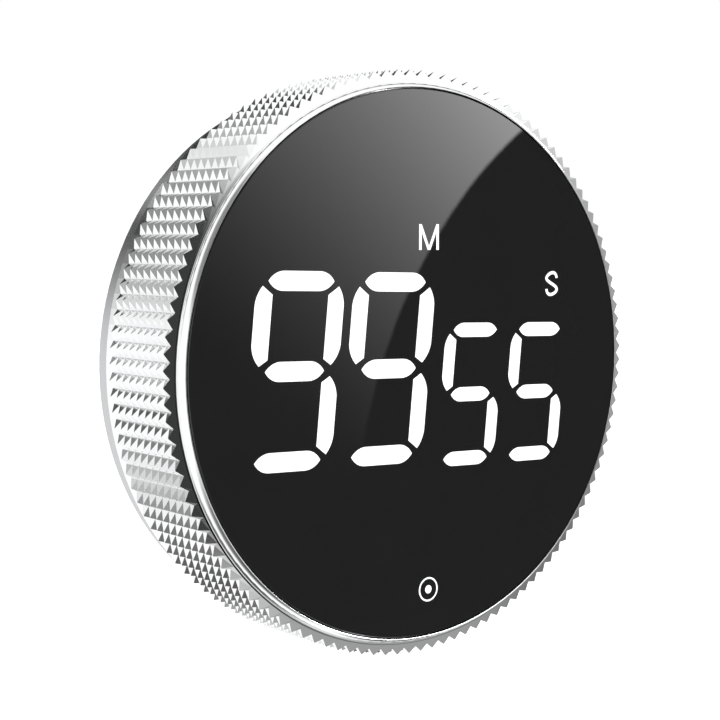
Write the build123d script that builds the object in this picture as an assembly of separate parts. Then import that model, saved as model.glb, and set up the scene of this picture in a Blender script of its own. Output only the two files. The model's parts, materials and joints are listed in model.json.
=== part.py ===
from build123d import *
import math
import os

# Rotary countdown timer with a knurled dial ring around a fixed black lens.
# Every piece is drawn lying on its back: the rear resting plane is z = 0, +Z points out
# of the lens and +Y points up the display. save() stands it up, so that the lens looks
# along -Y and +Z is up. The origin is the centre of the rear resting plane. Millimetres.

# Overall
THICKNESS = 27.0
RING_R = 39.0
FIT_GAP = 0.15

# Knurl on the dial ring: rows of four-sided pyramids
KNURL_TEETH = 120
KNURL_ROWS = 9
KNURL_PITCH = 1.6275
KNURL_HEIGHT = 0.88
KNURL_VALLEY_R = RING_R - KNURL_HEIGHT
FIRST_ROW_Z = 25.54
LAST_ROW_Z = FIRST_ROW_Z - (KNURL_ROWS - 1) * KNURL_PITCH

# Dial ring
RING_BACK_Z = 9.93
RING_LAND_R = 38.05
RING_BORE_R = 36.7
RING_MOUTH_R = 36.55
LIP_TOP = (36.64, THICKNESS - 0.03)
LIP_ARC_R = 1.55
LIP_NORMALS = (36, 85)
LIP_FLOOR = (37.62, 25.6)
LIP_FILLET = ((37.45, 25.62), (37.34, 25.69), (37.28, 25.79))
FLANGE_R = 34.6
FLANGE_Z = (22.0, 23.5)

# Lens and its printed windows
LENS_R = 36.4
LENS_Z = 25.2
TAPE_T = 0.2
TAPE_IN_R = 32.8

# Seven-segment digits, at the size of the large ones
DIGIT_HALF_W = 6.95
DIGIT_HALF_H = 12.78
BAR_T = 2.55
POST_T = 2.6
BAR_TIP_X = 5.14
MIDDLE_TIP_X = 4.6
SLANT = math.tan(math.radians(4.33))
BIG_SCALE = 0.985
SMALL_SCALE = 0.759
DISPLAY_TILT = -1.47
BIG_Y = -0.33
SMALL_Y = -4.09
BIG_X = (-20.75, -5.69)
SMALL_X = (8.57, 20.58)
SEGMENTS = "abcdefg"
LIT = {"big": "abcdfg", "small": "acdfg"}
MINUTE_MARK = (1.07, 16.98)
SECOND_MARK = (23.59, 10.43)
MARK_SIZE = 3.4
MARK_STROKE = 0.44
TOUCH_MARK = (1.13, -30.28)
TOUCH_MARK_R = 1.65
TOUCH_MARK_STROKE = 0.24
TOUCH_DOT_R = 0.56

# Mid frame
FRAME_R = 36.3
FRAME_HUB_R = 34.45
FRAME_Z = (22.2, 23.7, 25.0)
COLUMN_R = 2.4

# Display stack
BOARD_T = 1.2
DISPLAY_BOARD_Z = 18.9
DISPLAY_BOARD_T = 1.0
BLOCK_FLANGE_TOP = 22.0
BLOCK_TOP = 24.9
BLOCK_X = (-28.2, 26.6)
BLOCK_Y = (-15.6, 13.6)
BUMP_X = (-3.4, 3.9)
BUMP_TOP = 20.0
STACK_R = 32.2
LED_SIZE = (1.6, 0.8, 0.6)

# Main board
MAIN_BOARD_Z = 15.1
MAIN_BOARD_R = 34.0
MAIN_BOARD_TOP = MAIN_BOARD_Z + BOARD_T

# Gear stage: internal gear in the dial ring, pinion on the encoder
MODULE = 0.8
GEAR_TEETH = 84
PINION_TEETH = 12
PRESSURE = math.radians(20)
GEAR_R = MODULE * GEAR_TEETH / 2
PINION_R = MODULE * PINION_TEETH / 2
GEAR_CENTRES = GEAR_R - PINION_R
GEAR_TIP_R = 33.1
GEAR_Z = (16.6, 22.0)
PINION_Z = (16.9, 18.5)
BACKLASH = 0.12
SHAFT_R = 1.5
ENCODER_SIZE = (9.0, 9.0, 5.2)
ENCODER_X = -GEAR_CENTRES

# Rear case
CASE_Z = 0.15
FLOOR_T = 1.6
FLOOR_TOP = CASE_Z + FLOOR_T
WALL_T = 1.6
BASE_R = 33.4
BASE_TOP_R = 34.2
BAND_R = 37.2
BAND_Z = (6.2, 9.73)
SPIGOT_TOP = 16.0
SPIGOT_IN_R = 34.6
BOSS_R = 2.75
SCREW_XY = (20.0, 22.5)
SCREW_R = 1.0
SCREW_HEAD_R = 1.9
SCREW_HEAD_Z = (0.6, 2.2)
SCREW_TIP_Z = 20.3

# Battery bay
CELL_R = 5.25
CELL_L = 44.5
NUB_R = 1.9
NUB_L = 0.9
CELL_PITCH = 10.7
CELL_Z = 7.45
CELL_TURNS = (1, -1, 1)
BAY_X = 16.2
BAY_Y = 24.8
BAY_TOP = 13.1
BAY_WALL = 1.2
LEDGE_Z = 1.55
LEAF_T = 0.4
LEAF_Z = (4.0, 11.4)

# Battery cover
COVER_X = 17.0
COVER_Y = 25.4
COVER_T = 1.3
COVER_GAP = 0.2
LUG_X = (6.0, 12.0)
LUG_Y = (-26.8, -24.0)
LUG_Z = (1.9, 2.9)
TONGUE_X = 4.5
TONGUE_L = 9.0

# Volume switch, its knob and the buzzer
SWITCH_XY = (22.6, 12.3)
SWITCH_TRAVEL = 1.5
SWITCH_SIZE = (4.4, 9.2, 3.7)
KNOB_HALF = (1.5, 1.3)
KNOB_FLANGE = (4.6, 8.8)
LEVER_HALF = 0.8
BUZZER_XY = (-22.6, 12.3)
BUZZER_R = 4.5
BUZZER_H = 4.7

# Magnets and pads
MAGNET_X = 25.0
MAGNET_R = 5.0
MAGNET_Z = (0.95, 3.95)
PAD_R = 31.9
PAD_Y = 27.0
PAD_T = 0.8


def save(name, shape):
    """Stand a piece up and write it to its own file."""
    export_step(Rot(90, 0, 0) * shape, f"parts/{name}.step")


def between(shape_2d, low, high):
    """Extrude a flat outline from one height to another."""
    return extrude(Pos(0, 0, low) * shape_2d, high - low)


def disc(radius, low, high, x=0.0, y=0.0):
    """Solid cylinder between two heights."""
    return between(Pos(x, y) * Circle(radius), low, high)


def tube(outer, inner, low, high, x=0.0, y=0.0):
    """Ring between two heights."""
    return between(Pos(x, y) * (Circle(outer) - Circle(inner)), low, high)


def block(x, y, z):
    """Box from three (low, high) pairs."""
    size = [high - low for low, high in (x, y, z)]
    centre = [(high + low) / 2 for low, high in (x, y, z)]
    return Pos(*centre) * Box(*size)


def around(centre, half):
    """The (low, high) pair that reaches half either side of centre."""
    return (centre - half, centre + half)


def corners(x, y):
    """The four mirrored places of a point."""
    return [(sx * x, sy * y) for sx in (1, -1) for sy in (1, -1)]


def turned(points):
    """Turn a closed outline of (radius, height) points about the Z axis."""
    return revolve(make_face(Plane.XZ * Polyline(*points, close=True)), Axis.Z)


# Dial ring -----------------------------------------------------------------------------


def star():
    """Cross-section of the knurl: one tooth for each pyramid around the ring."""
    points = []
    for i in range(2 * KNURL_TEETH):
        radius = RING_R if i % 2 else KNURL_VALLEY_R
        angle = math.pi * i / KNURL_TEETH
        points.append((radius * math.cos(angle), radius * math.sin(angle)))
    return make_face(Polyline(*points, close=True))


def lip_arc(steps):
    """Points of the polished lip, from its foot up to its inner edge."""
    flat, steep = LIP_NORMALS
    points = []
    for step in range(steps + 1):
        angle = math.radians(steep + (flat - steep) * step / steps)
        start = math.radians(flat)
        radius = LIP_TOP[0] + LIP_ARC_R * (math.sin(angle) - math.sin(start))
        height = LIP_TOP[1] + LIP_ARC_R * (math.cos(angle) - math.cos(start))
        points.append((radius, height))
    return points


def ring_outline():
    """Half section of the ring: plain rear land, saw-tooth rows and polished lip."""
    last_valley = LAST_ROW_Z - KNURL_PITCH / 2
    points = [(RING_BORE_R, RING_BACK_Z), (RING_LAND_R, RING_BACK_Z), (RING_LAND_R, last_valley)]
    for row in range(KNURL_ROWS):
        z = LAST_ROW_Z + row * KNURL_PITCH
        points.append((RING_R, z))
        if row < KNURL_ROWS - 1:
            points.append((KNURL_VALLEY_R, z + KNURL_PITCH / 2))
    points += [LIP_FLOOR, *LIP_FILLET, *lip_arc(6)]
    points += [(RING_MOUTH_R, LIP_TOP[1] - 0.07), (RING_MOUTH_R, FLANGE_Z[1])]
    points += [(FLANGE_R, FLANGE_Z[1]), (FLANGE_R, FLANGE_Z[0]), (RING_BORE_R, FLANGE_Z[0])]
    return points


def dial_ring():
    """Knurled aluminium ring. The teeth run only where the saw-tooth rows are."""
    low = LAST_ROW_Z - KNURL_PITCH / 2
    high = LIP_FLOOR[1] + 0.01
    solid = turned(ring_outline())
    knurled = solid & between(star(), low, high)
    plain = block((-50, 50), (-50, 50), (low, high))
    return (solid - plain) + knurled


# Gears ---------------------------------------------------------------------------------


def involute(angle):
    """Involute function."""
    return math.tan(angle) - angle


def gear_outline(teeth, root_r, tip_r, pitch_half):
    """Outline of an external gear whose teeth take 2 * pitch_half radians at the pitch circle."""
    pitch_r = MODULE * teeth / 2
    base_r = pitch_r * math.cos(PRESSURE)
    flank = []
    for step in range(5):
        radius = max(root_r, base_r) + (tip_r - max(root_r, base_r)) * step / 4
        half = pitch_half + involute(PRESSURE) - involute(math.acos(base_r / radius))
        flank.append((radius, half))
    if root_r < base_r:
        flank.insert(0, (root_r, flank[0][1]))
    points = []
    for tooth in range(teeth):
        middle = 2 * math.pi * tooth / teeth
        side = [(r, middle - a) for r, a in flank] + [(r, middle + a) for r, a in reversed(flank)]
        points += [(r * math.cos(a), r * math.sin(a)) for r, a in side]
    return make_face(Polyline(*points, close=True))


def ring_gear():
    """Internal gear pressed into the dial ring. Its tooth spaces have the shape of gear teeth."""
    half = math.pi / (2 * GEAR_TEETH) + BACKLASH / (2 * GEAR_R)
    spaces = gear_outline(GEAR_TEETH, GEAR_TIP_R, GEAR_R + 1.25 * MODULE, half)
    return between(Circle(RING_BORE_R) - spaces, *GEAR_Z)


def encoder_pinion():
    """Pinion on the encoder's shaft."""
    half = math.pi / (2 * PINION_TEETH) - BACKLASH / (2 * PINION_R)
    outline = gear_outline(PINION_TEETH, PINION_R - 1.25 * MODULE, PINION_R + MODULE, half)
    return Pos(ENCODER_X, 0) * between(outline - Circle(SHAFT_R), *PINION_Z)


def encoder_shaft():
    """Steel shaft of the encoder."""
    return disc(SHAFT_R, MAIN_BOARD_Z - ENCODER_SIZE[2] + 1.0, PINION_Z[1], ENCODER_X)


def encoder_body():
    """Square encoder under the main board, bored for its shaft."""
    x, y, z = ENCODER_SIZE
    body = block(around(ENCODER_X, x / 2), around(0, y / 2), (MAIN_BOARD_Z - z, MAIN_BOARD_Z))
    bore = disc(SHAFT_R + 0.08, MAIN_BOARD_Z - z + 0.9, MAIN_BOARD_Z, ENCODER_X)
    return body - bore


# Lens and display ----------------------------------------------------------------------


def bar(tip_x, centre_y, thickness):
    """Level segment: flat in the middle, curving to a point at each end."""
    half = thickness / 2
    flat = tip_x - 1.85 * half
    right = Edge.make_three_point_arc(
        (flat, centre_y + half), (flat + 1.08 * half, centre_y + 0.72 * half), (tip_x, centre_y)
    )
    lower = right.mirror(Plane.XZ.offset(-centre_y))
    sides = [right, lower, right.mirror(Plane.YZ), lower.mirror(Plane.YZ)]
    top = Edge.make_line((-flat, centre_y + half), (flat, centre_y + half))
    bottom = Edge.make_line((-flat, centre_y - half), (flat, centre_y - half))
    return make_face(sides + [top, bottom])


def post():
    """Upper right segment: straight inside edge, outer edge curving in to both points."""
    inner = DIGIT_HALF_W - POST_T
    outer = DIGIT_HALF_W
    top = (5.95, 10.85)
    bottom = (5.6, 0.72)
    edges = [
        Edge.make_three_point_arc(top, (outer - 0.32, 9.75), (outer, 8.4)),
        Edge.make_line((outer, 8.4), (outer, 3.3)),
        Edge.make_three_point_arc((outer, 3.3), (outer - 0.4, 1.95), bottom),
        Edge.make_line(bottom, (inner, 1.5)),
        Edge.make_line((inner, 1.5), (inner, 9.75)),
        Edge.make_line((inner, 9.75), top),
    ]
    return make_face(edges)


def segment(letter):
    """One segment of an upright digit centred on the origin, by its usual letter."""
    end_y = DIGIT_HALF_H - BAR_T / 2
    if letter in "adg":
        height = {"a": end_y, "d": -end_y, "g": 0.0}[letter]
        return bar(MIDDLE_TIP_X if letter == "g" else BAR_TIP_X, height, BAR_T)
    shape = post()
    if letter in "ef":
        shape = mirror(shape, Plane.YZ)
    if letter in "ce":
        shape = mirror(shape, Plane.XZ)
    return shape


def placed(flat, x, y, scale_by):
    """Slant a flat digit piece, size it and set it in the display."""
    lean = Matrix([[1, SLANT, 0, 0], [0, 1, 0, 0], [0, 0, 1, 0], [0, 0, 0, 1]])
    slanted = flat.transform_geometry(lean)
    return Rot(0, 0, DISPLAY_TILT) * Pos(x, y) * scale(slanted, scale_by)


def digit_faces(kind, lit):
    """Flat segments of both digits of one kind, either those that are lit or the rest."""
    places = BIG_X if kind == "big" else SMALL_X
    height = BIG_Y if kind == "big" else SMALL_Y
    size = BIG_SCALE if kind == "big" else SMALL_SCALE
    letters = [name for name in SEGMENTS if (name in LIT[kind]) == lit]
    return [placed(segment(name), x, height, size) for x in places for name in letters]


def minute_mark_face():
    """The letter M as one closed outline."""
    half = MARK_SIZE / 2
    inner = half - MARK_STROKE
    slope = 2 * half / (half - MARK_STROKE / 2)
    foot = 0.54 * MARK_STROKE
    right = [(foot, -half), (inner, -half + slope * (inner - foot)), (inner, -half), (half, -half)]
    right += [(half, half), (inner, half), (0, half - slope * inner)]
    left = [(-x, y) for x, y in reversed(right[:-1])]
    return Pos(*MINUTE_MARK) * make_face(Polyline(*right, *left, close=True))


def second_mark_face():
    """The letter S as a stroke along a smooth curve."""
    upper = [(0.98, 0.78), (0.0, 1.52), (-1.0, 0.8)]
    lower = [(1.0, -0.84), (0.0, -1.52), (-1.0, -0.74)]
    stroke = trace(Spline(*upper, (0.0, 0.0), *lower), MARK_STROKE)
    return Pos(*SECOND_MARK) * stroke


def touch_mark_face():
    """Ring with a dot."""
    ring = Circle(TOUCH_MARK_R) - Circle(TOUCH_MARK_R - TOUCH_MARK_STROKE)
    return Pos(*TOUCH_MARK) * (ring + Circle(TOUCH_DOT_R))


def windows(faces):
    """Flush window pieces, as thick as the lens."""
    return Compound(children=[between(face, LENS_Z, THICKNESS) for face in faces])


def front_lens(cutters):
    """Black lens, cut through where each window piece sits."""
    lens = disc(LENS_R, LENS_Z, THICKNESS)
    rim = [edge for edge in lens.edges() if edge.center().Z > THICKNESS - 0.01]
    lens = chamfer(rim, 0.12)
    for cutter in cutters:
        lens = lens - cutter
    return lens


def stack_outline(grow):
    """Outline that the light block and its boards share."""
    body = Pos((BLOCK_X[0] + BLOCK_X[1]) / 2, (BLOCK_Y[0] + BLOCK_Y[1]) / 2) * Rectangle(
        BLOCK_X[1] - BLOCK_X[0] + 2 * grow, BLOCK_Y[1] - BLOCK_Y[0] + 2 * grow
    )
    bump = Pos((BUMP_X[0] + BUMP_X[1]) / 2, BUMP_TOP / 2) * Rectangle(
        BUMP_X[1] - BUMP_X[0] + 2 * grow, BUMP_TOP + 2 * grow
    )
    return (body + bump) & Circle(STACK_R)


def reflector_block(wells):
    """White block with a light well behind each window."""
    flange = between(stack_outline(0.8), DISPLAY_BOARD_Z + DISPLAY_BOARD_T, BLOCK_FLANGE_TOP)
    shape = flange + between(stack_outline(0), BLOCK_FLANGE_TOP, BLOCK_TOP)
    for well in wells:
        shape = shape - between(well, DISPLAY_BOARD_Z, THICKNESS)
    return shape


def segment_leds(centres):
    """One LED chip under each window, and one on the main board under the touch mark."""
    low = DISPLAY_BOARD_Z + DISPLAY_BOARD_T
    width, depth, height = LED_SIZE
    chips = [block(around(x, depth / 2), around(y, depth / 2), (low, low + height)) for x, y in centres]
    x, y = TOUCH_MARK
    lamp = block(around(x, width / 2), around(y, depth / 2), (MAIN_BOARD_TOP, MAIN_BOARD_TOP + height))
    return Compound(children=chips + [lamp])


def mid_frame():
    """Black frame: carries the lens, overlaps the ring's flange and stands on four columns."""
    hub = disc(FRAME_HUB_R, FRAME_Z[0], FRAME_Z[1])
    rim = disc(FRAME_R, FRAME_Z[1], FRAME_Z[2])
    frame = hub + rim - between(stack_outline(0.2), FRAME_Z[0], FRAME_Z[2])
    for x, y in corners(*SCREW_XY):
        frame = frame + disc(COLUMN_R, MAIN_BOARD_TOP, FRAME_Z[0], x, y)
    for x, y in corners(*SCREW_XY):
        frame = frame - disc(SCREW_R, MAIN_BOARD_TOP, SCREW_TIP_Z + 0.4, x, y)
    return frame - disc(2.6, FRAME_Z[0], FRAME_Z[2], *TOUCH_MARK)


# Boards --------------------------------------------------------------------------------


def main_board():
    """Round main board with holes for the encoder's shaft and the case screws."""
    board = disc(MAIN_BOARD_R, MAIN_BOARD_Z, MAIN_BOARD_TOP)
    board = board - disc(SHAFT_R + 0.5, MAIN_BOARD_Z, MAIN_BOARD_TOP, ENCODER_X)
    for x, y in corners(*SCREW_XY):
        board = board - disc(SCREW_R + 0.2, MAIN_BOARD_Z, MAIN_BOARD_TOP, x, y)
    return board


def control_chip():
    """Controller in a flat package with eight leads on each long side."""
    top = MAIN_BOARD_TOP
    pieces = [block((-5, 5), (-2, 2), (top + 0.1, top + 1.6))]
    for i in range(8):
        x = 1.27 * (i - 3.5)
        for side in (1, -1):
            pieces.append(block(around(x, 0.2), around(2.5 * side, 0.5), (top, top + 0.5)))
    return Compound(children=pieces)


def board_parts():
    """Capacitors and resistors in two rows, and the crystal's can."""
    top = MAIN_BOARD_TOP
    pieces = [block(around(-9 + 3 * i, 1.0), around(y, 0.6), (top, top + 0.9)) for i in range(7) for y in (6, -6)]
    can = between(Pos(11, 0) * RectangleRounded(3.2, 7.6, 1.5), top, top + 2.2)
    return Compound(children=pieces + [can])


def board_connector():
    """Plug on the main board and socket on the display board."""
    joint = MAIN_BOARD_TOP + 1.5
    plug = block((-8, 8), (-13.4, -11.2), (MAIN_BOARD_TOP, joint))
    socket = block((-8.4, 8.4), (-13.8, -10.8), (joint, DISPLAY_BOARD_Z))
    return Compound(children=[plug, socket])


def touch_pad():
    """Tube of conductive foam between the main board and the lens."""
    return tube(2.3, 1.2, MAIN_BOARD_TOP, LENS_Z, *TOUCH_MARK)


def buzzer():
    """Round buzzer under the main board, with its sound hole facing the rear."""
    low = MAIN_BOARD_Z - BUZZER_H
    return disc(BUZZER_R, low, MAIN_BOARD_Z, *BUZZER_XY) - disc(0.8, low, low + 1.2, *BUZZER_XY)


# Volume switch -------------------------------------------------------------------------


def volume_switch():
    """Slide switch under the main board, with a slot for its lever."""
    x, y = SWITCH_XY
    low = MAIN_BOARD_Z - SWITCH_SIZE[2]
    body = block(around(x, SWITCH_SIZE[0] / 2), around(y, SWITCH_SIZE[1] / 2), (low, MAIN_BOARD_Z))
    slot = block(around(x, 0.9), around(y, LEVER_HALF + SWITCH_TRAVEL + 0.3), (low, low + 0.6))
    room = block(around(x, 1.5), around(y, LEVER_HALF + SWITCH_TRAVEL + 0.9), (low + 0.5, low + 2.0))
    return body - slot - room


def switch_lever():
    """Lever of the slide switch, with a foot inside the switch."""
    x, y = SWITCH_XY
    low = MAIN_BOARD_Z - SWITCH_SIZE[2]
    pin = block(around(x, 0.7), around(y, LEVER_HALF), (low - 2.0, low + 0.8))
    foot = block(around(x, 1.3), around(y, LEVER_HALF + 0.5), (low + 0.7, low + 1.8))
    return pin + foot


def volume_knob():
    """Knob in the rear face, with a long stem and a fork that takes the lever."""
    x, y = SWITCH_XY
    low = MAIN_BOARD_Z - SWITCH_SIZE[2]
    stem_half = (1.2, 1.85)
    cap = block(around(x, KNOB_HALF[0]), around(y, KNOB_HALF[1]), (CASE_Z + 0.2, FLOOR_TOP + 0.2))
    for i in (-1, 0, 1):
        cap = cap - block(around(x, 2), around(y + 0.8 * i, 0.15), (CASE_Z, CASE_Z + 0.4))
    flange = block(
        around(x, KNOB_FLANGE[0] / 2), around(y, KNOB_FLANGE[1] / 2), (FLOOR_TOP + 0.15, FLOOR_TOP + 0.95)
    )
    stem = block(around(x, stem_half[0]), around(y, stem_half[1]), (FLOOR_TOP + 0.9, low - 0.4))
    fork = block(around(x, 2), around(y, LEVER_HALF + 0.08), (low - 2.2, low))
    return cap + flange + (stem - fork)


# Rear case -----------------------------------------------------------------------------


def case_shell():
    """Floor, drafted base wall, smooth band and the spigot that guides the ring."""
    points = [(0, CASE_Z), (BASE_R - 0.8, CASE_Z), (BASE_R, CASE_Z + 0.8), (BASE_TOP_R, BAND_Z[0])]
    points += [(BAND_R - 0.5, BAND_Z[0]), (BAND_R - 0.15, BAND_Z[0] + 0.15)]
    points += [(BAND_R, BAND_Z[0] + 0.5), (BAND_R, BAND_Z[1] - 0.1), (BAND_R - 0.1, BAND_Z[1])]
    points += [(RING_BORE_R - FIT_GAP, BAND_Z[1]), (RING_BORE_R - FIT_GAP, SPIGOT_TOP)]
    points += [(SPIGOT_IN_R, SPIGOT_TOP), (SPIGOT_IN_R, BAND_Z[1] - 0.6)]
    points += [(BASE_TOP_R - WALL_T, BAND_Z[0]), (BASE_R - WALL_T, FLOOR_TOP), (0, FLOOR_TOP)]
    return turned(points)


def screw_bosses(case):
    """Four hollow bosses that hold up the main board and take the case screws."""
    for x, y in corners(*SCREW_XY):
        case = case + disc(BOSS_R, CASE_Z + 0.1, MAIN_BOARD_Z, x, y)
        case = case + disc(BOSS_R + 0.4, CASE_Z + 0.1, SCREW_HEAD_Z[1] + 1.2, x, y)
    for x, y in corners(*SCREW_XY):
        case = case - disc(SCREW_R + 0.1, CASE_Z, MAIN_BOARD_Z, x, y)
        case = case - disc(SCREW_HEAD_R + FIT_GAP, CASE_Z, SCREW_HEAD_Z[1], x, y)
    return case


def battery_bay(case):
    """Walls and roof of the bay, its opening in the floor, and slots for lugs and tabs."""
    outer_x = around(0, BAY_X + BAY_WALL)
    outer_y = around(0, BAY_Y + BAY_WALL)
    case = case + block(outer_x, outer_y, (LEDGE_Z, BAY_TOP + BAY_WALL))
    case = case - block(around(0, COVER_X + COVER_GAP), around(0, COVER_Y + COVER_GAP), (CASE_Z, LEDGE_Z))
    case = case - block(around(0, BAY_X), around(0, BAY_Y), (LEDGE_Z, BAY_TOP))
    for side in (1, -1):
        x = sorted((side * (LUG_X[0] - 0.3), side * (LUG_X[1] + 0.3)))
        case = case - block(x, (LUG_Y[0] - 0.4, -BAY_Y + 0.1), (LUG_Z[0] - 0.15, 3.8))
    for x, y in ((CELL_PITCH, BAY_Y - 0.6), (-CELL_PITCH, -BAY_Y + 0.6)):
        case = case - block(around(x, 1.3), around(y, 0.6), (BAY_TOP, BAY_TOP + BAY_WALL))
    return case


def rear_case():
    """Grey rear case in one moulding."""
    case = battery_bay(screw_bosses(case_shell()))
    for side in (1, -1):
        pocket = tube(MAGNET_R + 1.0, MAGNET_R + 0.05, FLOOR_TOP, MAGNET_Z[1], side * MAGNET_X)
        case = case + pocket - disc(MAGNET_R + 0.05, MAGNET_Z[0], FLOOR_TOP, side * MAGNET_X)
        case = case - between(pad_outline(side, FIT_GAP), CASE_Z, PAD_T)
    x, y = SWITCH_XY
    slot = around(y, KNOB_HALF[1] + SWITCH_TRAVEL + 0.2)
    case = case - block(around(x, KNOB_HALF[0] + 0.2), slot, (CASE_Z, FLOOR_TOP))
    for i in range(7):
        angle = math.radians(60 * i)
        reach = 0.0 if i == 6 else 2.4
        hole = (BUZZER_XY[0] + reach * math.cos(angle), BUZZER_XY[1] + reach * math.sin(angle))
        case = case - disc(0.6, CASE_Z, FLOOR_TOP, *hole)
    return case


def pad_outline(side, grow):
    """Crescent between a straight edge and the rim, above or below the cover."""
    strip = Pos(0, side * (PAD_Y + 10 - grow)) * Rectangle(80, 20)
    return Circle(PAD_R + grow) & strip


def grip_pad(side):
    """Thin silicone pad that stands a little proud of the rear face."""
    return between(pad_outline(side, 0), 0, PAD_T)


def magnet(side):
    """Nickel-plated disc magnet."""
    shape = disc(MAGNET_R, *MAGNET_Z, side * MAGNET_X)
    return chamfer(shape.edges().filter_by(GeomType.CIRCLE), 0.2)


def case_screws():
    """Four self-tapping screws from the rear face into the mid frame's columns."""
    pieces = []
    for x, y in corners(*SCREW_XY):
        head = disc(SCREW_HEAD_R, *SCREW_HEAD_Z, x, y)
        for size in ((2.2, 0.5), (0.5, 2.2)):
            cross = block(around(x, size[0] / 2), around(y, size[1] / 2), (SCREW_HEAD_Z[0], SCREW_HEAD_Z[0] + 0.9))
            head = head - cross
        pieces.append(head + disc(SCREW_R, SCREW_HEAD_Z[1], SCREW_TIP_Z, x, y))
    return Compound(children=pieces)


# Batteries -----------------------------------------------------------------------------


def battery_cell(index):
    """AAA cell along Y. Neighbours point opposite ways."""
    can = Cylinder(CELL_R, CELL_L - NUB_L)
    can = Pos(0, 0, -NUB_L / 2) * chamfer(can.edges().filter_by(GeomType.CIRCLE), 0.4)
    cell = can + Pos(0, 0, (CELL_L - NUB_L) / 2) * Cylinder(NUB_R, NUB_L)
    return Pos((index - 1) * CELL_PITCH, 0, CELL_Z) * Rot(-90 * CELL_TURNS[index], 0, 0) * cell


def leaf(x, side):
    """Bowed strip that presses on one end of a cell."""
    reach = CELL_L / 2 + 0.05
    wall = BAY_Y - LEAF_T
    points = [(wall, LEAF_Z[1] - 0.6), (reach, CELL_Z + 0.6), (reach, CELL_Z - 0.6), (wall, LEAF_Z[0] + 0.6)]
    points += [(wall, LEAF_Z[0] + 1.2), (reach + 0.3, CELL_Z - 0.45), (reach + 0.3, CELL_Z + 0.45)]
    points += [(wall, LEAF_Z[1] - 1.2)]
    outline = make_face(Plane.YZ * Polyline(*[(side * y, z) for y, z in points], close=True))
    return Pos(x - 2) * extrude(outline, 4, dir=(1, 0, 0))


def contact_plate(columns, side, tab):
    """Flat plate behind one or two cells, with a leaf for each and an optional solder tab."""
    xs = [(column - 1) * CELL_PITCH for column in columns]
    y = sorted((side * (BAY_Y - LEAF_T), side * BAY_Y))
    shape = block((min(xs) - 3.8, max(xs) + 3.8), y, LEAF_Z)
    for x in xs:
        shape = shape + leaf(x, side)
    if tab:
        shape = shape + block(around(xs[0], 1.0), y, (LEAF_Z[1], MAIN_BOARD_Z))
    return shape


def contacts_top():
    """Bridge between the first two cells, and the plate of the third."""
    return Compound(children=[contact_plate((0, 1), 1, False), contact_plate((2,), 1, True)])


def contacts_bottom():
    """Plate of the first cell, and the bridge between the other two."""
    return Compound(children=[contact_plate((0,), -1, True), contact_plate((1, 2), -1, False)])


def battery_cover():
    """Cover with two lugs at its lower end and a spring tongue at its upper end."""
    top = CASE_Z + COVER_T
    cover = block(around(0, COVER_X), around(0, COVER_Y), (CASE_Z, top))
    upright = [edge for edge in cover.edges().filter_by(Axis.Z) if edge.center().Y > 0]
    cover = fillet(upright, 1.5)
    for side in (1, -1):
        x = sorted((side * LUG_X[0], side * LUG_X[1]))
        cover = cover + block(x, LUG_Y, LUG_Z) + block(x, (-BAY_Y + 0.1, LUG_Y[1]), (top, LUG_Z[1]))
        slit = around(side * (TONGUE_X + 0.4), 0.4)
        cover = cover - block(slit, (COVER_Y - TONGUE_L, COVER_Y), (CASE_Z, top))
    for i in range(3):
        groove = around(COVER_Y - 2.5 - 1.6 * i, 0.35)
        cover = cover - block(around(0, 3), groove, (CASE_Z, CASE_Z + 0.4))
    return cover


def cover_foam():
    """Foam strip inside the cover, just clear of the cells."""
    low = CASE_Z + COVER_T
    return block((-15, 15), (-4, 4), (low, low + 0.55))


# Assembly ------------------------------------------------------------------------------


def build_display():
    """Lens, window pieces, light block and LEDs, which all share the same outlines."""
    digits = {(kind, lit): digit_faces(kind, lit) for kind in LIT for lit in (True, False)}
    marks = [minute_mark_face(), second_mark_face()]
    segments = [face for faces in digits.values() for face in faces]
    pieces = {
        "minute_digits": windows(digits["big", True]),
        "second_digits": windows(digits["small", True]),
        "unlit_segments": windows(digits["big", False] + digits["small", False]),
        "minute_mark": between(marks[0], LENS_Z, THICKNESS),
        "second_mark": between(marks[1], LENS_Z, THICKNESS),
        "touch_mark": between(touch_mark_face(), LENS_Z, THICKNESS),
    }
    for name, shape in pieces.items():
        save(name, shape)
    save("front_lens", front_lens(list(pieces.values())))
    mark_wells = [Pos(*place) * Rectangle(3.9, 3.9) for place in (MINUTE_MARK, SECOND_MARK)]
    save("reflector_block", reflector_block(segments + mark_wells))
    centres = [(face.center().X, face.center().Y) for face in segments]
    save("segment_leds", segment_leds(centres + [MINUTE_MARK, SECOND_MARK]))
    board_top = DISPLAY_BOARD_Z + DISPLAY_BOARD_T
    save("display_board", between(stack_outline(0.8), DISPLAY_BOARD_Z, board_top))
    save("diffuser_film", between(stack_outline(0), BLOCK_TOP + 0.05, LENS_Z - 0.05))


def main():
    """Write every piece."""
    os.makedirs("parts", exist_ok=True)
    build_display()
    save("lens_adhesive", tube(LENS_R - 0.4, TAPE_IN_R, LENS_Z - TAPE_T, LENS_Z))
    makers = (
        dial_ring, ring_gear, encoder_pinion, encoder_shaft, encoder_body, mid_frame,
        main_board, control_chip, board_parts, board_connector, touch_pad, buzzer,
        volume_switch, switch_lever, volume_knob, rear_case, case_screws,
        contacts_top, contacts_bottom, battery_cover, cover_foam,
    )
    for make in makers:
        save(make.__name__, make())
    for index in range(3):
        save(f"battery_cell_{index + 1}", battery_cell(index))
    save("magnet_left", magnet(-1))
    save("magnet_right", magnet(1))
    save("grip_pad_top", grip_pad(1))
    save("grip_pad_bottom", grip_pad(-1))


main()
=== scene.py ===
import json
import math
import bpy
from mathutils import Matrix, Vector


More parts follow.
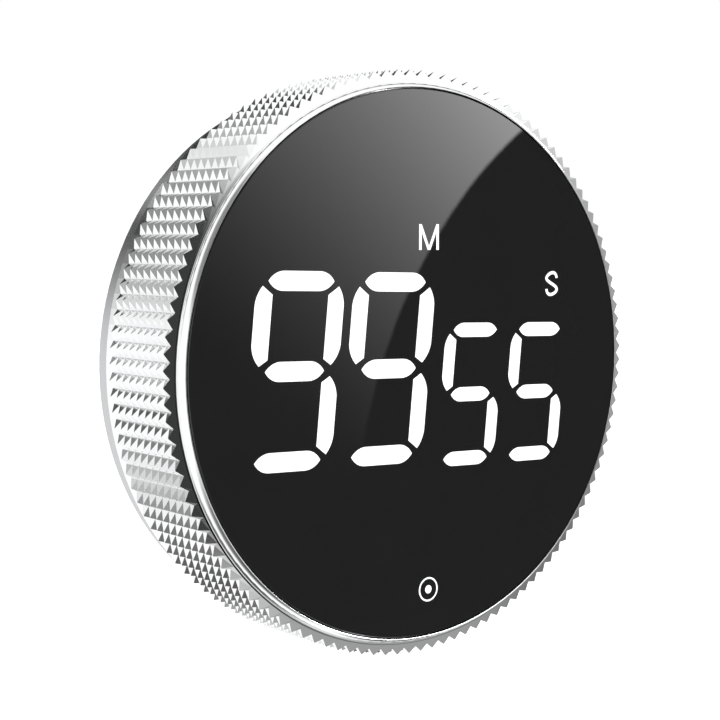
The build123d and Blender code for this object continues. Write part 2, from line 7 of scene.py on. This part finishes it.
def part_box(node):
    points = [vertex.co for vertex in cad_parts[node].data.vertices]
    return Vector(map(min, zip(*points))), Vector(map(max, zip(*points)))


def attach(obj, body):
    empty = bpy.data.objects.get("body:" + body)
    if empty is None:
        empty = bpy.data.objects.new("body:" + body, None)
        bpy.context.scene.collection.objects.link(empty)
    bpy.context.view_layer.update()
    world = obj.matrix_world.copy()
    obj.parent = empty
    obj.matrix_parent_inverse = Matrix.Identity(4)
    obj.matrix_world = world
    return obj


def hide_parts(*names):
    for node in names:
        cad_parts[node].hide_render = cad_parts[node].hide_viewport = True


# Looks of a rotary kitchen timer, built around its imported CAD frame. Metres, except where a
# value's name ends in _MM: the ring's profile is drawn in millimetres as (radius, depth),
# where depth is counted from the rear resting plane towards the lens.

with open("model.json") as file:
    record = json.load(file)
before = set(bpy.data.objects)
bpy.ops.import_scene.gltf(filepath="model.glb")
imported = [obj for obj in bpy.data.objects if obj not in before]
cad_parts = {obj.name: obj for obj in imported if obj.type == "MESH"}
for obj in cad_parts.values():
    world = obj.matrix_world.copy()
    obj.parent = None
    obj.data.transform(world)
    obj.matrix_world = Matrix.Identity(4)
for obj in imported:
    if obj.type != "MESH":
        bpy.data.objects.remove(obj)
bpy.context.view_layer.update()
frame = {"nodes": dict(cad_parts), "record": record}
MM = 0.001

# Camera, seen from the lens's centre
VIEW_TURN = math.radians(37.53)
VIEW_RISE = math.radians(4.29)
VIEW_DISTANCE = 0.22
VIEW_SIDE = 0.0083
VIEW_LIFT = 0.0007
FOCAL_MM = 82.85
SENSOR_MM = 36.0

# Dial ring
TEETH = 120
ROWS = 9
PITCH_MM = 1.6275
HEIGHT_MM = 0.88
FIRST_ROW_MM = 25.54
LAST_ROW_MM = FIRST_ROW_MM - (ROWS - 1) * PITCH_MM
REAR_VALLEY_MM = LAST_ROW_MM - PITCH_MM / 2
PEAK_R_MM = 39.0
VALLEY_R_MM = PEAK_R_MM - HEIGHT_MM
TIP_MM = 0.035
LAND_R_MM = 38.05
BACK_MM = 9.93
CHAMFER_MM = 0.1
BORE_R_MM = 36.7
MOUTH_R_MM = 36.55
FLANGE_R_MM = 34.6
FLANGE_MM = (22.0, 23.5)
# The land at the lip's foot stands 0.2 mm further forward than in the CAD, which tilts the
# fronts of the teeth
FLOOR_MM = (37.62, 25.8)
FILLET_MM = ((37.48, 25.8), (37.38, 25.806), (37.32, 25.82), (37.285, 25.838))
LIP_TOP_MM = (36.64, 26.97)
LIP_ARC_MM = 1.55
LIP_NORMALS = (36, 85)

# Stage
FLOOR_DROP = 0.15
WHITE = (1.0, 1.0, 1.0)
STUDIO = 1.12
CARD = 0.045
FLOOR_HALF = 40.0
# Dark card in front, by slopes right and up of straight ahead: where each edge starts and ends
CARD_LEFT = (-0.62, -0.2)
CARD_RIGHT = (1.5, 1.2)
CARD_LOW = (-0.5, -0.33)
CARD_HIGH = (0.32, 0.16)
# Dark ceiling at the back: heights and depths over which it sets in, and its share of the light
CEILING_RISE = (0.0, 0.46)
CEILING_BACK = (0.1, 0.4)
CEILING_CUT = 0.97
# Soft box: distance, its sides, its slope of brightness and the round flag, all as slopes
# right and up from the mirror image of the camera
SOFTBOX_DEPTH = 1.0
SOFTBOX_RIGHT = (0.5, 1.2)
SOFTBOX_UP = (-0.3, 0.25)
SOFTBOX_SLOPE = (4.718, 5.811)
SOFTBOX_START = 2.417
SOFTBOX_FLAG = (1.1664, -0.2454)
SOFTBOX_FLAG_R = (0.402, 0.407)
# Grey cards: direction, inner and outer radius in degrees, share of the light taken away
FLAGS = (
    ((-0.55, -0.55, 0.6), 14, 30, 0.75),
    ((-0.33, -0.42, -0.85), 10, 34, 0.85),
    ((-0.1, -0.95, 0.38), 8, 20, 0.93),
    ((-0.05, -0.35, -0.93), 6, 22, 0.55),
    ((0.88, 0.45, -0.07), 14, 30, 0.6),
    ((0.87, -0.48, -0.1), 10, 25, 0.65),
    ((0.6, -0.6, -0.5), 12, 30, 0.68),
    ((0.6, 0.0, -0.79), 8, 24, 0.9),
)
# Round lamp above and behind: direction, inner and outer radius in degrees
LAMP = ((-0.17, 0.79, 0.59), 4, 9)


# Node helpers -------------------------------------------------------------------------------


class Graph:
    """A shader node tree with one-line helpers."""

    def __init__(self, tree):
        self.tree = tree
        self.tree.nodes.clear()

    def node(self, kind, **settings):
        made = self.tree.nodes.new(kind)
        for name, value in settings.items():
            setattr(made, name, value)
        return made

    def set(self, socket, value):
        """Link a socket to another, or give it a plain value."""
        if isinstance(value, bpy.types.NodeSocket):
            self.tree.links.new(value, socket)
        elif isinstance(value, tuple) and len(value) == 3 and socket.type == "RGBA":
            socket.default_value = (*value, 1.0)
        else:
            socket.default_value = value

    def math(self, operation, *values, clamp=False):
        made = self.node("ShaderNodeMath", operation=operation, use_clamp=clamp)
        for socket, value in zip(made.inputs, values):
            self.set(socket, value)
        return made.outputs[0]

    def times(self, first, second):
        return self.math("MULTIPLY", first, second)

    def plus(self, first, second):
        return self.math("ADD", first, second)

    def length(self, first, second):
        """Length of a flat vector."""
        squares = self.plus(self.times(first, first), self.times(second, second))
        return self.math("SQRT", squares)

    def ramp(self, value, low, high, start=0.0, end=1.0):
        """Smooth step of value between low and high, mapped to start..end."""
        made = self.node("ShaderNodeMapRange", interpolation_type="SMOOTHSTEP")
        for name, given in (("Value", value), ("From Min", low), ("From Max", high)):
            self.set(made.inputs[name], given)
        made.inputs["To Min"].default_value = start
        made.inputs["To Max"].default_value = end
        return made.outputs[0]

    def mix(self, share, first, second):
        """Blend two colours."""
        made = self.node("ShaderNodeMix", data_type="RGBA")
        self.set(made.inputs[0], share)
        self.set(made.inputs[6], first)
        self.set(made.inputs[7], second)
        return made.outputs[2]

    def millimetres(self):
        """Object coordinates in millimetres."""
        coordinates = self.node("ShaderNodeTexCoord")
        scaled = self.node("ShaderNodeVectorMath", operation="SCALE")
        self.set(scaled.inputs[0], coordinates.outputs["Object"])
        scaled.inputs["Scale"].default_value = 1 / MM
        return scaled.outputs[0]

    def split(self, vector):
        made = self.node("ShaderNodeSeparateXYZ")
        self.set(made.inputs[0], vector)
        return made.outputs

    def join(self, x, y, z):
        made = self.node("ShaderNodeCombineXYZ")
        for socket, value in zip(made.inputs, (x, y, z)):
            self.set(socket, value)
        return made.outputs[0]

    def noise(self, vector, size_mm, detail=3.0, roughness=0.55):
        """Noise whose features are about size_mm across."""
        made = self.node("ShaderNodeTexNoise")
        self.set(made.inputs["Vector"], vector)
        made.inputs["Scale"].default_value = 1 / size_mm
        made.inputs["Detail"].default_value = detail
        made.inputs["Roughness"].default_value = roughness
        return made.outputs["Fac"]

    def cells(self, vector, size_mm, feature="F1"):
        made = self.node("ShaderNodeTexVoronoi", feature=feature)
        self.set(made.inputs["Vector"], vector)
        made.inputs["Scale"].default_value = 1 / size_mm
        return made.outputs["Distance"]

    def bump(self, height, depth_mm, strength=1.0):
        """Bump from a 0..1 height that stands for depth_mm."""
        made = self.node("ShaderNodeBump")
        self.set(made.inputs["Height"], height)
        made.inputs["Distance"].default_value = depth_mm * MM
        made.inputs["Strength"].default_value = strength
        return made.outputs["Normal"]


def material(name, **plain):
    """Principled material: returns it with its graph and shader. Plain values go on its own sockets."""
    made = bpy.data.materials.new(name)
    made.use_nodes = True
    graph = Graph(made.node_tree)
    shader = graph.node("ShaderNodeBsdfPrincipled")
    output = graph.node("ShaderNodeOutputMaterial")
    made.node_tree.links.new(shader.outputs[0], output.inputs["Surface"])
    for socket, value in plain.items():
        graph.set(shader.inputs[socket.replace("_", " ")], value)
    return made, graph, shader


def shade(colour, factor):
    return tuple(min(1.0, channel * factor) for channel in colour)


def moulded(name, colour, rough, grain_mm=0.12, grain_depth=0.004, mottle=0.06, **plain):
    """Moulded plastic or rubber: fine spark texture, slight cloudiness and uneven gloss."""
    made, graph, shader = material(name, **plain)
    place = graph.millimetres()
    cloud = graph.noise(place, 6.0)
    grain = graph.noise(place, grain_mm, 2.0)
    light = graph.mix(cloud, shade(colour, 1 - mottle), shade(colour, 1 + mottle))
    graph.set(shader.inputs["Base Color"], graph.mix(grain, light, shade(colour, 1 - mottle / 2)))
    graph.set(shader.inputs["Roughness"], graph.ramp(cloud, 0.25, 0.75, rough - 0.05, rough + 0.05))
    graph.set(shader.inputs["Normal"], graph.bump(grain, grain_depth))
    return made


def metal(name, colour, rough, stretch=(1.0, 1.0, 1.0), grain_mm=0.15, depth=0.0015, **plain):
    """Metal with drawn or rolled lines: noise stretched along the axes where stretch is small."""
    made, graph, shader = material(name, Metallic=1.0, **plain)
    place = graph.millimetres()
    x, y, z = graph.split(place)
    lines = graph.join(*[graph.times(part, s) for part, s in zip((x, y, z), stretch)])
    line = graph.noise(lines, grain_mm, 4.0)
    cloud = graph.noise(place, 3.5)
    graph.set(shader.inputs["Base Color"], graph.mix(cloud, shade(colour, 0.93), shade(colour, 1.04)))
    graph.set(shader.inputs["Roughness"], graph.ramp(line, 0.2, 0.8, rough - 0.06, rough + 0.08))
    graph.set(shader.inputs["Normal"], graph.bump(line, depth))
    return made


def turned_metal(name, colour, rough, lines_mm, depth, wobble=0.15):
    """Metal cut on a lathe about the Y axis: fine rings over its faces and along its walls."""
    made, graph, shader = material(name, Metallic=1.0)
    place = graph.millimetres()
    x, y, z = graph.split(place)
    radius = graph.length(x, z)
    cloud = graph.noise(place, 2.4)
    along = graph.plus(radius, y)
    along = graph.plus(along, graph.times(cloud, wobble * lines_mm))
    ring = graph.noise(graph.join(graph.times(along, 1 / lines_mm), 0.0, 0.0), 1.0, 2.0)
    graph.set(shader.inputs["Base Color"], graph.mix(cloud, shade(colour, 0.96), shade(colour, 1.03)))
    graph.set(shader.inputs["Roughness"], graph.ramp(ring, 0.2, 0.8, rough * 0.8, rough * 1.25))
    graph.set(shader.inputs["Normal"], graph.bump(ring, depth))
    return made


# Materials ----------------------------------------------------------------------------------

ALUMINIUM = (0.91, 0.915, 0.92)
LENS_BLACK = (0.0168, 0.0168, 0.0173)
# Battery cell, from its middle: where the jacket ends and where its lighter band starts
JACKET_END_MM = (21.2, 21.3)
JACKET_BAND_MM = (12.4, 12.5)


def knurl_material():
    """Diamond-turned facets: nearly mirror bright, with faint cutter lines along each row."""
    made, graph, shader = material("knurl_facets", Metallic=1.0)
    place = graph.millimetres()
    x, y, z = graph.split(place)
    radius = graph.length(x, z)
    lines = graph.join(graph.times(radius, 14.0), graph.times(y, 3.0), 0.0)
    cut = graph.noise(lines, 1.0, 2.0)
    speck = graph.noise(place, 0.25, 3.0)
    cloud = graph.noise(place, 5.0)
    tint = graph.mix(cloud, shade(ALUMINIUM, 0.97), shade(ALUMINIUM, 1.03))
    marks = graph.ramp(speck, 0.62, 0.8, 0.0, 0.25)
    graph.set(shader.inputs["Base Color"], graph.mix(marks, tint, shade(ALUMINIUM, 0.8)))
    graph.set(shader.inputs["Roughness"], graph.ramp(cut, 0.25, 0.75, 0.14, 0.24))
    graph.set(shader.inputs["Normal"], graph.bump(cut, 0.004))
    return made


def lip_material():
    """Polished lip: a mirror with the faintest haze and wear."""
    made, graph, shader = material("polished_lip", Metallic=1.0)
    place = graph.millimetres()
    haze = graph.noise(place, 4.0, 3.0)
    wear = graph.noise(place, 0.3, 3.0)
    graph.set(shader.inputs["Base Color"], graph.mix(haze, shade(ALUMINIUM, 0.98), shade(ALUMINIUM, 1.02)))
    graph.set(shader.inputs["Roughness"], graph.ramp(wear, 0.5, 0.8, 0.07, 0.12))
    graph.set(shader.inputs["Normal"], graph.bump(wear, 0.0006))
    return made


def lens_material(name, colour):
    """Black gloss moulding with a barely uneven polish."""
    made, graph, shader = material(name, IOR=1.49)
    place = graph.millimetres()
    cloud = graph.noise(place, 9.0, 4.0)
    dust = graph.noise(place, 0.35, 2.0)
    graph.set(shader.inputs["Base Color"], graph.mix(cloud, shade(colour, 0.92), shade(colour, 1.08)))
    graph.set(shader.inputs["Roughness"], graph.ramp(dust, 0.55, 0.8, 0.004, 0.012))
    graph.set(shader.inputs["Normal"], graph.bump(cloud, 0.001))
    return made


def lit_material():
    """White window lit from behind, with a slightly uneven glow."""
    made, graph, shader = material("lit_window", Roughness=0.08)
    place = graph.millimetres()
    glow = graph.noise(place, 3.2, 1.0)
    graph.set(shader.inputs["Base Color"], graph.mix(glow, (0.5, 0.5, 0.5), (0.56, 0.56, 0.56)))
    graph.set(shader.inputs["Emission Color"], graph.mix(glow, (0.96, 0.98, 1.0), WHITE))
    graph.set(shader.inputs["Emission Strength"], graph.ramp(glow, 0.3, 0.7, 0.86, 0.94))
    return made


def board_material():
    """Green solder mask over copper tracks."""
    made, graph, shader = material("solder_mask", IOR=1.5, Coat_Weight=0.5, Coat_Roughness=0.12)
    place = graph.millimetres()
    tracks = graph.cells(place, 2.6, "DISTANCE_TO_EDGE")
    copper = graph.ramp(tracks, 0.05, 0.09)
    weave = graph.noise(place, 0.5, 2.0)
    green = graph.mix(weave, (0.008, 0.07, 0.03), (0.014, 0.1, 0.045))
    graph.set(shader.inputs["Base Color"], graph.mix(copper, (0.03, 0.17, 0.07), green))
    graph.set(shader.inputs["Roughness"], graph.ramp(weave, 0.2, 0.8, 0.3, 0.42))
    graph.set(shader.inputs["Normal"], graph.bump(copper, 0.03))
    return made


def cell_material():
    """Plain cell jacket: a printed band round the positive end, bare steel at both ends."""
    made, graph, shader = material("cell_jacket", Coat_Weight=0.6, Coat_Roughness=0.15)
    place = graph.millimetres()
    x, y, z = graph.split(place)
    along = graph.join(graph.times(x, 0.2), z, graph.times(y, 0.2))
    lines = graph.noise(along, 0.3, 3.0)
    bare = graph.ramp(graph.math("ABSOLUTE", z), *JACKET_END_MM)
    band = graph.ramp(z, *JACKET_BAND_MM)
    print_colour = graph.mix(band, (0.02, 0.11, 0.08), (0.55, 0.33, 0.09))
    tinted = graph.mix(lines, print_colour, graph.mix(0.25, print_colour, (0.2, 0.3, 0.25)))
    graph.set(shader.inputs["Base Color"], graph.mix(bare, tinted, (0.62, 0.61, 0.58)))
    graph.set(shader.inputs["Metallic"], graph.math("MAXIMUM", bare, 0.35))
    graph.set(shader.inputs["Roughness"], graph.ramp(lines, 0.2, 0.8, 0.24, 0.36))
    graph.set(shader.inputs["Normal"], graph.bump(lines, 0.002))
    return made


def foam_material(name, colour):
    """Open foam: dented pore cells with painted shade in each hollow, and a rough, dull skin."""
    made, graph, shader = material(name, Specular_IOR_Level=0.2)
    place = graph.millimetres()
    pore_depth_and_shade = graph.ramp(graph.cells(place, 0.45), 0.1, 0.5)
    # Painted shade: the base colour of each pore's hollow drops to 0.45 of the foam's grey, standing in
    # for shade in the recess.
    graph.set(shader.inputs["Base Color"], graph.mix(pore_depth_and_shade, shade(colour, 0.45), colour))
    graph.set(shader.inputs["Roughness"], graph.ramp(pore_depth_and_shade, 0.0, 1.0, 0.98, 0.85))
    graph.set(shader.inputs["Normal"], graph.bump(pore_depth_and_shade, 0.12))
    return made


def make_materials():
    """One finish for each material slot of the record."""
    steel = (0.6, 0.6, 0.61)
    return {
        "ring_aluminium": turned_metal("turned_aluminium", ALUMINIUM, 0.16, 0.05, 0.0015),
        "case_grey": moulded("case_grey", (0.56, 0.565, 0.575), 0.27, mottle=0.03, Metallic=0.9),
        "frame_black": moulded("frame_black", (0.02, 0.02, 0.021), 0.45),
        "lens_black": lens_material("lens_black", LENS_BLACK),
        "smoked_window": lens_material("smoked_window", LENS_BLACK),
        "lit_window": lit_material(),
        "tape": moulded("tape", (0.03, 0.03, 0.03), 0.8, 0.3, 0.01),
        "film": moulded("film", (0.85, 0.85, 0.82), 0.6, 0.08, 0.003),
        "reflector_white": moulded("reflector_white", (0.85, 0.85, 0.83), 0.35),
        "board_green": board_material(),
        "led_white": moulded("led_white", (0.85, 0.78, 0.42), 0.3, 0.06, 0.002),
        "chip_black": moulded("chip_black", (0.02, 0.02, 0.022), 0.55, 0.08, 0.004),
        "component_tan": moulded("component_tan", (0.33, 0.22, 0.12), 0.4, 0.1, 0.003, 0.15),
        "connector_cream": moulded("connector_cream", (0.72, 0.64, 0.45), 0.42),
        "encoder_black": moulded("encoder_black", (0.03, 0.03, 0.035), 0.4),
        "foam_grey": foam_material("foam_grey", (0.06, 0.06, 0.065)),
        "switch_steel": metal("switch_steel", steel, 0.25, (1.0, 1.0, 0.1)),
        "cell_jacket": cell_material(),
        "contact_nickel": metal("contact_nickel", (0.66, 0.63, 0.57), 0.22, (0.1, 1.0, 1.0)),
        "magnet_nickel": metal("magnet_nickel", (0.7, 0.69, 0.66), 0.14, grain_mm=0.4),
        "silicone_grey": moulded("silicone_grey", (0.09, 0.092, 0.096), 0.62, 0.2, 0.008, 0.08),
        "screw_steel": turned_metal("screw_steel", steel, 0.28, 0.08, 0.002),
        "gear_white": moulded("gear_white", (0.78, 0.77, 0.7), 0.4, Subsurface_Weight=0.1),
        "shaft_steel": turned_metal("shaft_steel", steel, 0.2, 0.06, 0.001),
        "knob_dark": moulded("knob_dark", (0.03, 0.03, 0.033), 0.45, 0.15, 0.006),
    }


def finish_nodes(materials):
    """Give every CAD node the finish of its slot in the record."""
    slots = {part["node"]: part["material_slot"] for part in frame["record"]["subparts"]}
    for name, node in frame["nodes"].items():
        node.data.materials.clear()
        node.data.materials.append(materials[slots[name]])


# Dial ring ----------------------------------------------------------------------------------


def ring_point(radius, turn, depth):
    """A point of the ring in the frame: turn in degrees from +X towards +Z."""
    angle = math.radians(turn)
    return Vector((radius * math.cos(angle), -depth, radius * math.sin(angle))) * MM


class Mesh:
    """Points and faces, with shared points found again by where they are."""

    def __init__(self):
        self.points = []
        self.faces = []
        self.kinds = []
        self.smooth = []
        self.index = {}

    def point(self, where):
        key = tuple(round(c * 1e8) for c in where)
        if key not in self.index:
            self.index[key] = len(self.points)
            self.points.append(where)
        return self.index[key]

    def face(self, corners, kind=0, smooth=False):
        ids = [self.point(c) for c in corners]
        unique = [i for n, i in enumerate(ids) if i != ids[n - 1]]
        if len(unique) > 2:
            self.faces.append(unique)
            self.kinds.append(kind)
            self.smooth.append(smooth)

    def build(self, name, materials):
        data = bpy.data.meshes.new(name)
        data.from_pydata(self.points, [], self.faces)
        for made in materials:
            data.materials.append(made)
        data.polygons.foreach_set("material_index", self.kinds)
        data.polygons.foreach_set("use_smooth", self.smooth)
        data.update()
        piece = bpy.data.objects.new(name, data)
        bpy.context.scene.collection.objects.link(piece)
        return piece


def knurl(mesh):
    """Rows of four-sided pyramids with slightly blunted tips, a flat rear land and cut-off fronts."""
    step = 360 / TEETH
    half = step / 2
    share = TIP_MM / (PITCH_MM / 2)
    top_r = PEAK_R_MM - HEIGHT_MM * share
    slope = (FLOOR_MM[1] - FIRST_ROW_MM) / (PEAK_R_MM - FLOOR_MM[0])
    front_valley = FIRST_ROW_MM + slope * HEIGHT_MM
    rear_slope = (PITCH_MM / 2) / (PEAK_R_MM - LAND_R_MM)
    shoulder = REAR_VALLEY_MM + rear_slope * (VALLEY_R_MM - LAND_R_MM)
    for tooth in range(TEETH):
        turn = (tooth + 0.5) * step
        for row in range(ROWS):
            depth = LAST_ROW_MM + row * PITCH_MM
            low = depth - PITCH_MM / 2 if row else shoulder
            high = depth + PITCH_MM / 2 if row < ROWS - 1 else front_valley

            def tip(side, end):
                return ring_point(top_r, turn + side * half * share, depth + end * TIP_MM)

            def valley(side, end):
                return ring_point(VALLEY_R_MM, turn + side * half, high if end > 0 else low)

            mesh.face([tip(-1, -1), tip(-1, 1), tip(1, 1), tip(1, -1)])
            for side in (-1, 1):
                corners = [tip(side, -1), tip(side, 1), valley(side, 1), valley(side, -1)]
                mesh.face(corners if side < 0 else corners[::-1])
            if row < ROWS - 1:
                mesh.face([tip(-1, 1), valley(-1, 1), valley(1, 1), tip(1, 1)])
            else:
                rim = [ring_point(FLOOR_MM[0], turn + side * half, FLOOR_MM[1]) for side in (-1, 1)]
                mesh.face([tip(-1, 1), valley(-1, 1), rim[0], rim[1], valley(1, 1), tip(1, 1)], 1)
            if row:
                mesh.face([tip(1, -1), valley(1, -1), valley(-1, -1), tip(-1, -1)])
                continue
            foot = [ring_point(LAND_R_MM, turn + side * half, REAR_VALLEY_MM) for side in (-1, 1)]
            edge = [ring_point(LAND_R_MM, turn + side * half, BACK_MM + CHAMFER_MM) for side in (-1, 1)]
            mesh.face([tip(1, -1), valley(1, -1), foot[1], foot[0], valley(-1, -1), tip(-1, -1)])
            mesh.face([foot[0], foot[1], edge[1], edge[0]], 2)


def lip_profile(steps=14):
    """Section of the polished lip, from the groove at its foot to its inner edge."""
    flat, steep = LIP_NORMALS
    start = math.radians(flat)
    lip = [FLOOR_MM, *FILLET_MM]
    for step in range(steps + 1):
        angle = math.radians(steep + (flat - steep) * step / steps)
        radius = LIP_TOP_MM[0] + LIP_ARC_MM * (math.sin(angle) - math.sin(start))
        lip.append((radius, LIP_TOP_MM[1] + LIP_ARC_MM * (math.cos(angle) - math.cos(start))))
    return lip


def rest_profile():
    """Section of the mouth, flange, bore and rear, from the lip round to the rear land."""
    flange_rear, flange_front = FLANGE_MM
    inner, corner = FLANGE_R_MM, FLANGE_R_MM + CHAMFER_MM
    mouth = [LIP_TOP_MM, (MOUTH_R_MM + 0.03, 26.95), (MOUTH_R_MM, 26.9), (MOUTH_R_MM, flange_front)]
    flange = [(corner, flange_front), (inner, flange_front - CHAMFER_MM)]
    flange += [(inner, flange_rear + CHAMFER_MM), (corner, flange_rear)]
    bore = [(BORE_R_MM, flange_rear), (BORE_R_MM, BACK_MM + CHAMFER_MM)]
    rear = [(BORE_R_MM + CHAMFER_MM, BACK_MM), (LAND_R_MM - CHAMFER_MM, BACK_MM)]
    return mouth + flange + bore + rear + [(LAND_R_MM, BACK_MM + CHAMFER_MM)]


def lathe_strip(mesh, profile, kind, smooth):
    """Turn a profile about the ring's axis, on the knurl's own divisions."""
    step = 360 / TEETH
    for tooth in range(TEETH):
        start, end = tooth * step, (tooth + 1) * step
        for (r0, d0), (r1, d1) in zip(profile, profile[1:]):
            near = [ring_point(r0, start, d0), ring_point(r1, start, d1)]
            far = [ring_point(r1, end, d1), ring_point(r0, end, d0)]
            mesh.face(near + far, kind, smooth)


def dial_ring(materials):
    """The knurled ring as one closed mesh."""
    mesh = Mesh()
    knurl(mesh)
    lathe_strip(mesh, lip_profile(), 1, True)
    lathe_strip(mesh, rest_profile(), 2, False)
    piece = mesh.build("knurled_ring", [knurl_material(), lip_material(), materials["ring_aluminium"]])
    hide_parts("dial_ring")
    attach(piece, "dial")
    return piece


# Stage --------------------------------------------------------------------------------------


def view_axes():
    """Right, up and backward directions of the camera."""
    turn, rise = VIEW_TURN, VIEW_RISE
    right = Vector((math.cos(turn), -math.sin(turn), 0))
    up = Vector((math.sin(rise) * math.sin(turn), math.sin(rise) * math.cos(turn), math.cos(rise)))
    back = Vector((-math.cos(rise) * math.sin(turn), -math.cos(rise) * math.cos(turn), math.sin(rise)))
    return right, up, back


def lens_centre():
    low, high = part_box("front_lens")
    return Vector(((low.x + high.x) / 2, low.y, (low.z + high.z) / 2))


def make_camera():
    right, up, back = view_axes()
    data = bpy.data.cameras.new("camera")
    data.lens = FOCAL_MM
    data.sensor_width = SENSOR_MM
    data.clip_start = 0.01
    camera = bpy.data.objects.new("camera", data)
    camera.matrix_world = Matrix((right, up, back)).transposed().to_4x4()
    camera.location = lens_centre() - right * VIEW_SIDE + up * VIEW_LIFT + back * VIEW_DISTANCE
    bpy.context.scene.collection.objects.link(camera)
    bpy.context.scene.camera = camera
    return camera


def quad(name, corners, made):
    """A flat four-sided stage piece."""
    data = bpy.data.meshes.new(name)
    data.from_pydata(corners, [], [(0, 1, 2, 3)])
    data.materials.append(made)
    piece = bpy.data.objects.new(name, data)
    bpy.context.scene.collection.objects.link(piece)
    return piece


def make_floor():
    """Plain pale floor, well under the object, which hangs on a wall or fridge in use."""
    made, graph, shader = material("floor_white", Roughness=0.9)
    place_mm = graph.millimetres()
    cloud = graph.noise(place_mm, 120.0)
    graph.set(shader.inputs["Base Color"], graph.mix(cloud, (0.9, 0.9, 0.9), (0.93, 0.93, 0.93)))
    graph.set(shader.inputs["Emission Color"], WHITE)
    graph.set(shader.inputs["Emission Strength"], 0.7)
    signs = ((-1, -1), (1, -1), (1, 1), (-1, 1))
    corners = [(sx * FLOOR_HALF, sy * FLOOR_HALF, -FLOOR_DROP) for sx, sy in signs]
    floor = quad("floor", corners, made)
    floor.visible_glossy = False


def softbox(camera):
    """Soft box that the lens mirrors across its upper left. A round flag cuts its edge."""
    depth = SOFTBOX_DEPTH
    eye = camera.location
    mirrored = Vector((eye.x, 2 * lens_centre().y - eye.y, eye.z))
    wall = mirrored.y - depth
    made = bpy.data.materials.new("softbox")
    made.use_nodes = True
    graph = Graph(made.node_tree)
    x, _, z = graph.split(graph.millimetres())
    across = graph.times(graph.math("SUBTRACT", x, mirrored.x / MM), MM / depth)
    above = graph.times(graph.math("SUBTRACT", z, mirrored.z / MM), MM / depth)
    right_slope, up_slope = SOFTBOX_SLOPE
    slope = graph.plus(graph.times(across, right_slope), graph.times(above, up_slope))
    level = graph.math("MAXIMUM", graph.math("SUBTRACT", slope, SOFTBOX_START), 0.0)
    flag_x = graph.math("SUBTRACT", across, SOFTBOX_FLAG[0])
    flag_z = graph.math("SUBTRACT", above, SOFTBOX_FLAG[1])
    open_part = graph.ramp(graph.length(flag_x, flag_z), *SOFTBOX_FLAG_R)
    glow = graph.node("ShaderNodeEmission")
    power = graph.times(graph.times(level, level), open_part)
    graph.set(glow.inputs["Strength"], power)
    output = graph.node("ShaderNodeOutputMaterial")
    made.node_tree.links.new(glow.outputs[0], output.inputs["Surface"])
    (left, right), (low, high) = SOFTBOX_RIGHT, SOFTBOX_UP
    sides = [(left, low), (right, low), (right, high), (left, high)]
    corners = [(mirrored.x + u * depth, wall, mirrored.z + v * depth) for u, v in sides]
    panel = quad("softbox", corners, made)
    panel.visible_camera = False
    panel.visible_diffuse = False


def dark_window(graph, u, v):
    """Share of a black card in front of the object, given by slopes right and up of straight ahead."""
    left = graph.ramp(u, *CARD_LEFT)
    right = graph.ramp(u, *CARD_RIGHT)
    low = graph.ramp(v, *CARD_LOW)
    high = graph.ramp(v, *CARD_HIGH)
    return graph.times(graph.times(left, right), graph.times(low, high))


def spot(graph, direction, centre, inner, outer, edge=0.0, middle=1.0):
    """A value that goes from edge to middle within a cone around a direction."""
    aim = Vector(centre).normalized()
    dot = graph.node("ShaderNodeVectorMath", operation="DOT_PRODUCT")
    graph.set(dot.inputs[0], direction)
    dot.inputs[1].default_value = aim
    near, far = math.cos(math.radians(inner)), math.cos(math.radians(outer))
    return graph.ramp(dot.outputs["Value"], far, near, edge, middle)


def make_world():
    """White studio with a black card in front and grey cards at the sides, for the metal to show."""
    world = bpy.data.worlds.new("studio")
    bpy.context.scene.world = world
    world.use_nodes = True
    graph = Graph(world.node_tree)
    direction = graph.node("ShaderNodeTexCoord").outputs["Generated"]
    x, y, z = graph.split(direction)
    ahead = graph.math("MAXIMUM", graph.times(y, -1.0), 0.02)
    u = graph.math("DIVIDE", x, ahead)
    v = graph.math("DIVIDE", z, ahead)
    card = dark_window(graph, u, v)
    strength = graph.math("SUBTRACT", STUDIO, graph.times(card, STUDIO - CARD))
    for centre, inner, outer, cut in FLAGS:
        left_over = spot(graph, direction, centre, inner, outer, 1.0, 1.0 - cut)
        strength = graph.times(strength, left_over)
    ceiling = graph.times(graph.ramp(z, *CEILING_RISE), graph.ramp(y, *CEILING_BACK))
    open_share = graph.math("SUBTRACT", 1.0, graph.times(ceiling, CEILING_CUT))
    strength = graph.times(strength, open_share)
    lamp = graph.times(spot(graph, direction, *LAMP), STUDIO)
    strength = graph.math("MAXIMUM", strength, lamp)
    seen = graph.node("ShaderNodeLightPath").outputs["Is Camera Ray"]
    background = graph.node("ShaderNodeBackground")
    graph.set(background.inputs["Color"], WHITE)
    graph.set(background.inputs["Strength"], graph.math("MAXIMUM", strength, seen))
    output = graph.node("ShaderNodeOutputWorld")
    world.node_tree.links.new(background.outputs[0], output.inputs["Surface"])


def make_stage():
    bpy.context.scene.view_settings.view_transform = "Standard"
    camera = make_camera()
    make_world()
    make_floor()
    softbox(camera)


def main():
    materials = make_materials()
    finish_nodes(materials)
    dial_ring(materials)
    make_stage()


main()
